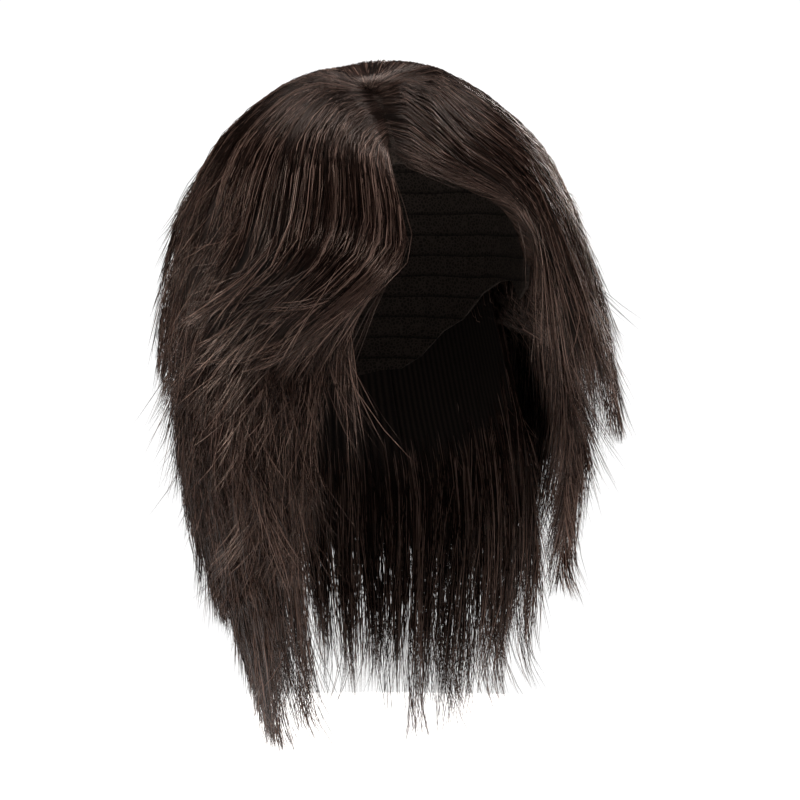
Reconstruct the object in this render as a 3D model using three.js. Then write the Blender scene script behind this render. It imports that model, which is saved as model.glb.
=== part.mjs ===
// A shoulder-length human hair wig with a side part, in the form that it has when worn.
// Millimetres, +Z up. The wearer faces -Y, and the wearer's left is +X.
// The origin is the inside of the cap at the crown, where the wig sits on the head.
import * as THREE from 'three';

// The head form that the cap fits
const HEAD_HALF_WIDTH = 73;
const HEAD_FRONT = 92;
const HEAD_BACK = 96;
const CROWN_HEIGHT = 85;
const NAPE_HEIGHT = 130;
const CROWN_ARC = 130;

// The cap: a thin net wall, open below, cut away at the brow and over the ears
const CAP_WALL = 1.5;
const CAP_COLUMNS = 40;
const CAP_ROWS = 12;

// Height of the cap's rim, the same on both sides.
// turn: degrees round the head from the back; drop: distance down the head from the crown
const CAP_RIM = [
  { turn: 0, drop: 206 },
  { turn: 45, drop: 196 },
  { turn: 72, drop: 168 },
  { turn: 86, drop: 148 },
  { turn: 98, drop: 146 },
  { turn: 112, drop: 158 },
  { turn: 126, drop: 128 },
  { turn: 138, drop: 106 },
  { turn: 150, drop: 86 },
  { turn: 180, drop: 84 },
];

// Hair sheets: the gap under the roots, and the sheet's thickness at its root and its tips
const ROOT_CLEARANCE = 0.7;
const ROOT_THICKNESS = 1.6;
const TIP_THICKNESS = 0.8;

// Share of the full thickness at a layer's front edges, and between two locks
const EDGE_SHARE = 0.45;
const VALLEY_SHARE = 0.7;

// Parts of the way from one guide to the next: the gap beside a section, and a small step
const SECTION_INSET = 0.03;
const GUIDE_STEP = 0.02;
const SHEET_ROWS = 11;

// Lock lengths along a section, as a share of the guide's length, and how far up they part
const LOCK_LENGTHS = [1, 0.93, 0.98, 0.9, 0.96];
const LOCK_PARTING = 0.78;
const FLIP_PARTING = 0.9;
const SWEEP_PARTING = 0.92;
const WISP_PARTING = 0.8;

// Guides are a row each, from the right front edge round the back to the left front edge.
// turn: degrees from the back, left positive; drop: distance down; out: distance off the head
const at = (turn, drop, out = 0) => ({ turn, drop, out });

// Outer layer: springs from the part on the right and falls over the whole cap
const OUTER_STATIONS = ['root', 'lift', 'rise', 'hollow', 'crest', 'fall', 'tip'];
const OUTER_GUIDES = [
  { root: at(-151, 80), lift: at(-152, 90, 7), rise: at(-154, 106, 11), hollow: at(-155.5, 119, 11),
    crest: at(-154, 132, 16.5), fall: at(-136, 163, 27), tip: at(-99, 206, 38) },
  { root: at(-149, 67), lift: at(-141, 78, 10), rise: at(-139, 93, 14.5), hollow: at(-139.5, 110, 15),
    crest: at(-137, 129, 22), fall: at(-117.5, 162, 34), tip: at(-84, 205, 40) },
  { root: at(-145, 50), lift: at(-130, 61, 11.5), rise: at(-122, 84, 18), hollow: at(-122.5, 108, 20),
    crest: at(-122, 129, 27.5), fall: at(-104, 161, 37.5), tip: at(-73, 207, 40) },
  { root: at(-133, 35), lift: at(-106, 47, 13), rise: at(-100, 80, 20), hollow: at(-98, 106, 23.5),
    crest: at(-98, 129, 30), fall: at(-89, 164, 37.5), tip: at(-68, 214, 38) },
  { root: at(-130, 33), lift: at(-87, 38, 15), rise: at(-69, 75, 20), hollow: at(-67, 97, 24),
    crest: at(-66, 118, 28), fall: at(-66, 168, 36), tip: at(-64, 227, 32) },
  { root: at(-130, 30), lift: at(-69, 28, 13.5), rise: at(-38, 73, 17), hollow: at(-38, 94, 21.5),
    crest: at(-38, 116, 25.5), fall: at(-38, 172, 31), tip: at(-37, 235, 28) },
  { root: at(-133, 28), lift: at(-38, 18, 12.5), rise: at(0, 73, 17), hollow: at(0, 94, 21),
    crest: at(0, 116, 24.5), fall: at(0, 174, 29), tip: at(0, 240, 26) },
  { root: at(-138, 27), lift: at(17, 10, 14), rise: at(37, 72, 17), hollow: at(38, 93, 21.5),
    crest: at(38, 116, 25.5), fall: at(38, 172, 31), tip: at(37, 235, 28) },
  { root: at(-143, 27), lift: at(86, 14, 14.3), rise: at(68, 66, 17), hollow: at(67, 91, 22),
    crest: at(67, 116, 26.5), fall: at(66, 168, 36), tip: at(64, 228, 38) },
  { root: at(-148, 28), lift: at(128, 23, 14), rise: at(104, 62, 17), hollow: at(98, 86, 21),
    crest: at(94, 112, 25.5), fall: at(89, 165, 37), tip: at(84, 229, 44) },
  { root: at(-150, 31), lift: at(169, 33, 13.5), rise: at(150, 60, 16), hollow: at(136, 81, 19.5),
    crest: at(125, 103, 24), fall: at(117, 156, 39), tip: at(112, 227, 50) },
  { root: at(-150, 50), lift: at(-167, 52, 12), rise: at(176, 77, 15), hollow: at(164.5, 90, 17),
    crest: at(154, 106, 21), fall: at(145, 148, 32), tip: at(138, 214, 44) },
  { root: at(-155, 80), lift: at(-163, 87, 6), rise: at(-175, 96, 8), hollow: at(174, 102, 9),
    crest: at(162, 109, 10.5), fall: at(148, 133, 15), tip: at(138, 196, 25) },
];

// Middle layer: springs from the sides and back of the cap, below the outer layer
const LOWER_STATIONS = ['root', 'rise', 'crest', 'fall', 'tip'];
const MIDDLE_GUIDES = [
  { root: at(-127, 116), rise: at(-131, 150, 8), crest: at(-130, 190, 14),
    fall: at(-126, 235, 16), tip: at(-123, 290, 8) },
  { root: at(-112, 112), rise: at(-112, 150, 12), crest: at(-112, 190, 21),
    fall: at(-112, 238, 22), tip: at(-110, 296, 12) },
  { root: at(-90, 108), rise: at(-90, 150, 14), crest: at(-90, 190, 26),
    fall: at(-90, 244, 25), tip: at(-90, 312, 9) },
  { root: at(-66, 106), rise: at(-66, 150, 14), crest: at(-66, 190, 27),
    fall: at(-67, 246, 24), tip: at(-68, 322, 5) },
  { root: at(-44, 106), rise: at(-44, 146, 16), crest: at(-44, 190, 22),
    fall: at(-45, 245, 20), tip: at(-46, 322, 1) },
  { root: at(-15, 106), rise: at(-15, 146, 15), crest: at(-15, 190, 19),
    fall: at(-15, 242, 15), tip: at(-15, 311, -3) },
  { root: at(15, 106), rise: at(15, 146, 15), crest: at(15, 190, 19),
    fall: at(15, 242, 15), tip: at(15, 310, -2) },
  { root: at(44, 106), rise: at(44, 146, 16), crest: at(44, 190, 22),
    fall: at(45, 242, 19), tip: at(46, 310, 2) },
  { root: at(66, 106), rise: at(66, 150, 14), crest: at(66, 190, 25),
    fall: at(67, 240, 24), tip: at(70, 308, 8) },
  { root: at(90, 108), rise: at(90, 150, 14), crest: at(90, 190, 27),
    fall: at(91, 242, 30), tip: at(92, 308, 15) },
  { root: at(112, 112), rise: at(112, 150, 13), crest: at(113, 190, 26),
    fall: at(114, 240, 30), tip: at(116, 306, 17) },
  { root: at(127, 116), rise: at(130, 150, 9), crest: at(130, 188, 17),
    fall: at(129, 224, 20), tip: at(127, 274, 17) },
];

// Inner layer: springs from the nape and hangs longest
const INNER_GUIDES = [
  { root: at(-82, 142), rise: at(-98, 192, 4), crest: at(-114, 250, 7),
    fall: at(-120, 312, 2), tip: at(-116, 376, -11) },
  { root: at(-69, 156), rise: at(-79, 205, 3), crest: at(-88, 260, 7),
    fall: at(-94, 320, 1), tip: at(-95, 394, -17) },
  { root: at(-50, 176), rise: at(-55, 215, 0), crest: at(-62, 265, 4),
    fall: at(-66, 318, 0), tip: at(-70, 386, -24) },
  { root: at(-26, 187), rise: at(-29, 220, -3), crest: at(-33, 265, 0),
    fall: at(-36, 320, -8), tip: at(-38, 376, -26) },
  { root: at(0, 190), rise: at(0, 222, -4), crest: at(0, 268, -1),
    fall: at(0, 322, -9), tip: at(0, 378, -25) },
  { root: at(26, 187), rise: at(29, 220, -3), crest: at(33, 265, 1),
    fall: at(36, 325, -7), tip: at(38, 394, -20) },
  { root: at(50, 176), rise: at(55, 215, 0), crest: at(60, 265, 5),
    fall: at(62, 322, -2), tip: at(62, 396, -13) },
  { root: at(69, 156), rise: at(77, 205, 3), crest: at(83, 258, 8),
    fall: at(86, 312, 6), tip: at(86, 374, -4) },
  { root: at(82, 142), rise: at(93, 192, 5), crest: at(100, 244, 11),
    fall: at(103, 292, 13), tip: at(104, 344, 7) },
];

// Loose locks that frame the face, in front of the right side
const WISP_GUIDES = [
  { root: at(-136, 98), rise: at(-138, 136, 7), crest: at(-139, 168, 12),
    fall: at(-140, 200, 13), tip: at(-142, 238, 11) },
  { root: at(-131, 104), rise: at(-134, 140, 7), crest: at(-134, 172, 12),
    fall: at(-136, 205, 13), tip: at(-139, 246, 12) },
];

const LAYERS = {
  outer: { stations: OUTER_STATIONS, guides: OUTER_GUIDES, thickness: 7, relief: 2.4 },
  middle: { stations: LOWER_STATIONS, guides: MIDDLE_GUIDES, thickness: 5, relief: 2.2 },
  inner: { stations: LOWER_STATIONS, guides: INNER_GUIDES, thickness: 5, relief: 2 },
  wisps: { stations: LOWER_STATIONS, guides: WISP_GUIDES, thickness: 1.4, relief: 0.4 },
};

// Each section of hair is one solid: a stretch of a layer's guides, cut into so many locks
const SECTIONS = [
  { name: 'sweep_right', layer: 'outer', from: 0, to: 4, locks: 11, parting: SWEEP_PARTING },
  { name: 'crown_back', layer: 'outer', from: 4, to: 8, locks: 11, parting: LOCK_PARTING },
  { name: 'sweep_left', layer: 'outer', from: 8, to: 12, locks: 11, parting: FLIP_PARTING },
  { name: 'side_right', layer: 'middle', from: 0, to: 3, locks: 9, parting: LOCK_PARTING },
  { name: 'back_middle', layer: 'middle', from: 3, to: 8, locks: 10, parting: LOCK_PARTING },
  { name: 'side_left', layer: 'middle', from: 8, to: 11, locks: 9, parting: LOCK_PARTING },
  { name: 'nape_right', layer: 'inner', from: 0, to: 2.5, locks: 8, parting: LOCK_PARTING },
  { name: 'nape_back', layer: 'inner', from: 2.5, to: 5.5, locks: 8, parting: LOCK_PARTING },
  { name: 'nape_left', layer: 'inner', from: 5.5, to: 8, locks: 8, parting: LOCK_PARTING },
  { name: 'wisps_right', layer: 'wisps', from: 0, to: 1, locks: 3, parting: WISP_PARTING },
];

const HAIR_COLOUR = 0x30241f;
const HAIR_ROUGHNESS = 0.42;
const CAP_COLOUR = 0x1b1613;
const CAP_ROUGHNESS = 0.85;

// A place off the head form. With hang, what is below the widest level goes straight down.
function placeOffHead({ turn, drop, out }, hang) {
  const side = THREE.MathUtils.degToRad(turn);
  const depth = Math.cos(side) > 0 ? HEAD_BACK : HEAD_FRONT;
  const below = Math.max(0, drop - CROWN_ARC);
  const tilt = (Math.min(drop, CROWN_ARC) / CROWN_ARC) * (Math.PI / 2);
  const narrowing = hang ? 1 : Math.sqrt(1 - (below / NAPE_HEIGHT) ** 2);
  const spread = Math.sin(tilt) * narrowing;
  return new THREE.Vector3(
    (HEAD_HALF_WIDTH + out) * spread * Math.sin(side),
    (depth + out) * spread * Math.cos(side),
    (CROWN_HEIGHT + out) * Math.cos(tilt) - CROWN_HEIGHT - below,
  );
}

// How far a point stands off the head form, measured towards the form's middle
function heightOffHead({ x, y, z }) {
  const level = z + CROWN_HEIGHT;
  const depth = y > 0 ? HEAD_BACK : HEAD_FRONT;
  const height = level > 0 ? CROWN_HEIGHT : NAPE_HEIGHT;
  const times = Math.hypot(x / HEAD_HALF_WIDTH, y / depth, level / height);
  return Math.hypot(x, y, level) * (1 - 1 / times);
}

// The point on the same line out from the form's middle that stands so high off the head
function seatOffHead(point, height) {
  const middle = new THREE.Vector3(0, 0, -CROWN_HEIGHT);
  const line = point.clone().sub(middle);
  return line.setLength(line.length() - heightOffHead(point) + height).add(middle);
}

function rimDrop(turn) {
  const angle = Math.abs(THREE.MathUtils.euclideanModulo(turn + 180, 360) - 180);
  const next = Math.max(1, CAP_RIM.findIndex((row) => row.turn >= angle));
  const low = CAP_RIM[next - 1];
  const high = CAP_RIM[next];
  const share = THREE.MathUtils.smoothstep(angle, low.turn, high.turn);
  return THREE.MathUtils.lerp(low.drop, high.drop, share);
}

function solidFrom(points, triangles) {
  const geometry = new THREE.BufferGeometry().setFromPoints(points);
  geometry.setIndex(triangles);
  geometry.computeVertexNormals();
  return geometry;
}

// The cap's wall: an outer and an inner dome, each a crown point and rings, joined at the rim
function capGeometry() {
  const points = [];
  const triangles = [];
  const ring = (k) => ((k % CAP_COLUMNS) + CAP_COLUMNS) % CAP_COLUMNS;
  const domeSize = 1 + CAP_ROWS * CAP_COLUMNS;
  for (const out of [CAP_WALL, 0]) {
    points.push(placeOffHead({ turn: 0, drop: 0, out }, false));
    for (let row = 1; row <= CAP_ROWS; row += 1) {
      for (let k = 0; k < CAP_COLUMNS; k += 1) {
        const turn = (360 * k) / CAP_COLUMNS;
        const drop = (rimDrop(turn) * row) / CAP_ROWS;
        points.push(placeOffHead({ turn, drop, out }, false));
      }
    }
  }
  const index = (dome, row, k) => dome * domeSize + 1 + (row - 1) * CAP_COLUMNS + ring(k);
  for (let k = 0; k < CAP_COLUMNS; k += 1) {
    triangles.push(0, index(0, 1, k + 1), index(0, 1, k));
    triangles.push(domeSize, index(1, 1, k), index(1, 1, k + 1));
    for (let row = 1; row < CAP_ROWS; row += 1) {
      const [a, b] = [index(0, row, k), index(0, row, k + 1)];
      const [c, d] = [index(0, row + 1, k), index(0, row + 1, k + 1)];
      triangles.push(a, b, d, a, d, c);
      const [e, f] = [index(1, row, k), index(1, row, k + 1)];
      const [g, h] = [index(1, row + 1, k), index(1, row + 1, k + 1)];
      triangles.push(e, h, f, e, g, h);
    }
    const [outer, outerNext] = [index(0, CAP_ROWS, k), index(0, CAP_ROWS, k + 1)];
    const [inner, innerNext] = [index(1, CAP_ROWS, k), index(1, CAP_ROWS, k + 1)];
    triangles.push(outer, outerNext, innerNext, outer, innerNext, inner);
  }
  return solidFrom(points, triangles);
}

// The outer face of a layer of hair: across the guides first, then along a lock from root to tip
function layerSurface({ stations, guides }) {
  const rootHeight = CAP_WALL + ROOT_CLEARANCE + ROOT_THICKNESS;
  const across = stations.map((station) => new THREE.CatmullRomCurve3(
    guides.map((guide) => placeOffHead(guide[station], station !== 'root')),
  ));
  return (guide) => {
    const share = THREE.MathUtils.clamp(guide / (guides.length - 1), 0, 1);
    const [root, ...rest] = across.map((curve) => curve.getPoint(share));
    return new THREE.CatmullRomCurve3([seatOffHead(root, rootHeight), ...rest]);
  };
}

// Full a quarter of the way down, thin at the root and the tip
function thicknessAt(full, along) {
  const swell = Math.sin(Math.PI * Math.sqrt(along));
  const base = THREE.MathUtils.lerp(ROOT_THICKNESS, TIP_THICKNESS, along);
  return base + (full - base) * swell;
}

// A layer thins out towards its front edges, beside the first and the last guide
function edgeShare(place, lastGuide) {
  const inward = Math.min(place, lastGuide - place);
  return THREE.MathUtils.lerp(EDGE_SHARE, 1, THREE.MathUtils.smoothstep(inward, 0, 1));
}

// One section of hair: a curved sheet ridged into locks, which part into points at the tips
function sectionGeometry({ layer, from, to, locks, parting }) {
  const { guides, thickness, relief } = LAYERS[layer];
  const curveAt = layerSurface(LAYERS[layer]);
  const columns = 2 * locks;
  const width = to - from - 2 * SECTION_INSET;
  const outer = [];
  const inner = [];
  for (let column = 0; column <= columns; column += 1) {
    const isRidge = column % 2 === 1;
    const lock = Math.floor(column / 2);
    const reach = isRidge ? LOCK_LENGTHS[lock % LOCK_LENGTHS.length] : parting;
    const place = from + SECTION_INSET + (width * column) / columns;
    const full = thickness * edgeShare(place, guides.length - 1);
    const curve = curveAt(place);
    const before = curveAt(place - GUIDE_STEP);
    const after = curveAt(place + GUIDE_STEP);
    for (let row = 0; row <= SHEET_ROWS; row += 1) {
      const along = (reach * row) / SHEET_ROWS;
      const sideways = after.getPoint(along).sub(before.getPoint(along));
      const normal = sideways.cross(curve.getTangent(along)).normalize();
      const depth = thicknessAt(full, row / SHEET_ROWS);
      const sunk = isRidge ? 0 : (relief * depth) / thickness;
      const face = curve.getPoint(along).addScaledVector(normal, -sunk);
      const room = heightOffHead(face) - CAP_WALL - ROOT_CLEARANCE;
      const wall = Math.min(isRidge ? depth : depth * VALLEY_SHARE, room);
      outer.push(face);
      inner.push(face.clone().addScaledVector(normal, -Math.max(wall, TIP_THICKNESS)));
    }
  }
  return closedSheet(outer, inner, columns, SHEET_ROWS);
}

// Two faces of points, column by column, closed along all four edges
function closedSheet(outer, inner, lastColumn, lastRow) {
  const triangles = [];
  const backFace = outer.length;
  const index = (column, row) => column * (lastRow + 1) + row;
  const quad = (a, b, c, d) => triangles.push(a, b, c, a, c, d);
  const close = (a, b) => quad(b, a, backFace + a, backFace + b);
  for (let column = 0; column < lastColumn; column += 1) {
    for (let row = 0; row < lastRow; row += 1) {
      const a = index(column, row);
      const b = index(column + 1, row);
      const c = index(column + 1, row + 1);
      const d = index(column, row + 1);
      quad(a, b, c, d);
      quad(backFace + a, backFace + d, backFace + c, backFace + b);
    }
    close(index(column, 0), index(column + 1, 0));
    close(index(column + 1, lastRow), index(column, lastRow));
  }
  for (let row = 0; row < lastRow; row += 1) {
    close(index(0, row + 1), index(0, row));
    close(index(lastColumn, row), index(lastColumn, row + 1));
  }
  return solidFrom([...outer, ...inner], triangles);
}

function namedMesh(name, geometry, color, roughness) {
  const material = new THREE.MeshStandardMaterial({ color, roughness, metalness: 0 });
  const mesh = new THREE.Mesh(geometry, material);
  mesh.name = name;
  return mesh;
}

const wig = new THREE.Group();
wig.add(namedMesh('cap', capGeometry(), CAP_COLOUR, CAP_ROUGHNESS));
for (const section of SECTIONS) {
  wig.add(namedMesh(section.name, sectionGeometry(section), HAIR_COLOUR, HAIR_ROUGHNESS));
}

export default wig;
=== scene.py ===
import math

import bpy
import numpy as np
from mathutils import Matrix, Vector


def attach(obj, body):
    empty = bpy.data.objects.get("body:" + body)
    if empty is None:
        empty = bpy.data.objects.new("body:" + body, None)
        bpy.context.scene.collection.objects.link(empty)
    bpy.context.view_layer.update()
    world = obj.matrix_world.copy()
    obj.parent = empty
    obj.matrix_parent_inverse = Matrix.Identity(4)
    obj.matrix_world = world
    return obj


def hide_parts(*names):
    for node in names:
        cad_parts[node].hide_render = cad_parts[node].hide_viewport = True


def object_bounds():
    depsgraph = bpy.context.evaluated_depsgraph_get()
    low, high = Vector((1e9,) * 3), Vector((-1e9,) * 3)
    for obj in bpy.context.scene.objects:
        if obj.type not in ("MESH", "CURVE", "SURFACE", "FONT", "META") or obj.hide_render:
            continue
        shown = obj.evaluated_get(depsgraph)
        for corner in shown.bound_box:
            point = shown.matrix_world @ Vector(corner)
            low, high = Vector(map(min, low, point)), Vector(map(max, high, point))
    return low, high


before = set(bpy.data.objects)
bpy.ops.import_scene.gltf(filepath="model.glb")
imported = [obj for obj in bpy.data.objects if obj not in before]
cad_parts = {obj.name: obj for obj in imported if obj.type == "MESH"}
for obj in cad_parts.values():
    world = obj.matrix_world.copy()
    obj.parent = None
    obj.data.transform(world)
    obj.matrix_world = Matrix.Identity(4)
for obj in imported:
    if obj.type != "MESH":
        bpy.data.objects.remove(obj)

CAD_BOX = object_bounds()
MM = 0.001

# The head form that the cap fits, in millimetres as is all hair below
HEAD_HALF_WIDTH = 73.0
HEAD_FRONT = 92.0
HEAD_BACK = 96.0
CROWN_HEIGHT = 85.0
NAPE_HEIGHT = 130.0
CROWN_ARC = 130.0
CAP_WALL = 1.5
# A layer of hair: how high its roots stand, its thickness there and at its tips, the share of its
# full thickness that is left at its front edges, and the lengths of its locks in turn
ROOT_HEIGHT = 3.8
ROOT_THICKNESS = 1.6
TIP_THICKNESS = 0.8
EDGE_SHARE = 0.45
LOCK_LENGTHS = np.array([1.0, 0.93, 0.98, 0.9, 0.96])

# The cap's rim: degrees from the back, the same on both sides, and the distance down the head there
CAP_RIM = [(0, 206), (45, 196), (72, 168), (86, 148), (98, 146), (112, 158), (126, 128), (138, 106),
           (150, 86), (180, 84)]
RIM_MARGIN = 4.0

# Guides are a row each, from the right front edge round the back to the left front edge.
# A place is (turn, drop, out): degrees from the back, left positive; distance down the head
# from the crown; distance off the head. Each row goes from the root to the tip.
OUTER_GUIDES = [
    [(-151, 80, 0), (-152, 90, 7), (-154, 106, 11), (-155.5, 119, 11),
     (-154, 132, 16.5), (-136, 163, 27), (-99, 206, 38)],
    [(-149, 67, 0), (-141, 78, 10), (-139, 93, 14.5), (-139.5, 110, 15),
     (-137, 129, 22), (-117.5, 162, 34), (-84, 205, 40)],
    [(-145, 50, 0), (-130, 61, 11.5), (-122, 84, 18), (-122.5, 108, 20),
     (-122, 129, 27.5), (-104, 161, 37.5), (-73, 207, 40)],
    [(-133, 35, 0), (-106, 47, 13), (-100, 80, 20), (-98, 106, 23.5),
     (-98, 129, 30), (-89, 164, 37.5), (-68, 214, 38)],
    [(-130, 33, 0), (-87, 38, 15), (-69, 75, 20), (-67, 97, 24),
     (-66, 118, 28), (-66, 168, 36), (-64, 227, 32)],
    [(-130, 30, 0), (-69, 28, 13.5), (-38, 73, 17), (-38, 94, 21.5),
     (-38, 116, 25.5), (-38, 172, 31), (-37, 235, 28)],
    [(-133, 28, 0), (-38, 18, 12.5), (0, 73, 17), (0, 94, 21),
     (0, 116, 24.5), (0, 174, 29), (0, 240, 26)],
    [(-138, 27, 0), (17, 10, 14), (37, 72, 17), (38, 93, 21.5),
     (38, 116, 25.5), (38, 172, 31), (37, 235, 28)],
    [(-143, 27, 0), (86, 14, 14.3), (68, 66, 17), (67, 91, 22),
     (67, 116, 26.5), (66, 168, 36), (64, 228, 38)],
    [(-148, 28, 0), (128, 23, 14), (104, 62, 17), (98, 86, 21),
     (94, 112, 25.5), (89, 165, 37), (84, 229, 44)],
    [(-150, 31, 0), (169, 33, 13.5), (150, 60, 16), (136, 81, 19.5),
     (125, 103, 24), (117, 156, 39), (112, 227, 50)],
    [(-150, 50, 0), (-167, 52, 12), (176, 77, 15), (164.5, 90, 17),
     (154, 106, 21), (145, 148, 32), (138, 214, 44)],
    [(-155, 80, 0), (-163, 87, 6), (-175, 96, 8), (174, 102, 9),
     (162, 109, 10.5), (148, 133, 15), (138, 196, 25)],
]
MIDDLE_GUIDES = [
    [(-127, 116, 0), (-131, 150, 8), (-130, 190, 14), (-126, 235, 16), (-123, 290, 8)],
    [(-112, 112, 0), (-112, 150, 12), (-112, 190, 21), (-112, 238, 22), (-110, 296, 12)],
    [(-90, 108, 0), (-90, 150, 14), (-90, 190, 26), (-90, 244, 25), (-90, 312, 9)],
    [(-66, 106, 0), (-66, 150, 14), (-66, 190, 27), (-67, 246, 24), (-68, 322, 5)],
    [(-44, 106, 0), (-44, 146, 16), (-44, 190, 22), (-45, 245, 20), (-46, 322, 1)],
    [(-15, 106, 0), (-15, 146, 15), (-15, 190, 19), (-15, 242, 15), (-15, 311, -3)],
    [(15, 106, 0), (15, 146, 15), (15, 190, 19), (15, 242, 15), (15, 310, -2)],
    [(44, 106, 0), (44, 146, 16), (44, 190, 22), (45, 242, 19), (46, 310, 2)],
    [(66, 106, 0), (66, 150, 14), (66, 190, 25), (67, 240, 24), (70, 308, 8)],
    [(90, 108, 0), (90, 150, 14), (90, 190, 27), (91, 242, 30), (92, 308, 15)],
    [(112, 112, 0), (112, 150, 13), (113, 190, 26), (114, 240, 30), (116, 306, 17)],
    [(127, 116, 0), (130, 150, 9), (130, 188, 17), (129, 224, 20), (127, 274, 17)],
]
INNER_GUIDES = [
    [(-82, 142, 0), (-98, 192, 4), (-114, 250, 7), (-120, 312, 2), (-116, 376, -11)],
    [(-69, 156, 0), (-79, 205, 3), (-88, 260, 7), (-94, 320, 1), (-95, 394, -17)],
    [(-50, 176, 0), (-55, 215, 0), (-62, 265, 4), (-66, 318, 0), (-70, 386, -24)],
    [(-26, 187, 0), (-29, 220, -3), (-33, 265, 0), (-36, 320, -8), (-38, 376, -26)],
    [(0, 190, 0), (0, 222, -4), (0, 268, -1), (0, 322, -9), (0, 378, -25)],
    [(26, 187, 0), (29, 220, -3), (33, 265, 1), (36, 325, -7), (38, 394, -20)],
    [(50, 176, 0), (55, 215, 0), (60, 265, 5), (62, 322, -2), (62, 396, -13)],
    [(69, 156, 0), (77, 205, 3), (83, 258, 8), (86, 312, 6), (86, 374, -4)],
    [(82, 142, 0), (93, 192, 5), (100, 244, 11), (103, 292, 13), (104, 344, 7)],
]
WISP_GUIDES = [
    [(-136, 98, 0), (-138, 136, 7), (-139, 168, 12), (-140, 200, 13), (-142, 238, 11)],
    [(-131, 104, 0), (-134, 140, 7), (-134, 172, 12), (-136, 205, 13), (-139, 246, 12)],
]
LAYERS = {
    "outer": {"guides": OUTER_GUIDES, "thickness": 7.0},
    "middle": {"guides": MIDDLE_GUIDES, "thickness": 5.0},
    "inner": {"guides": INNER_GUIDES, "thickness": 5.0},
    "wisps": {"guides": WISP_GUIDES, "thickness": 1.4},
}

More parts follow.
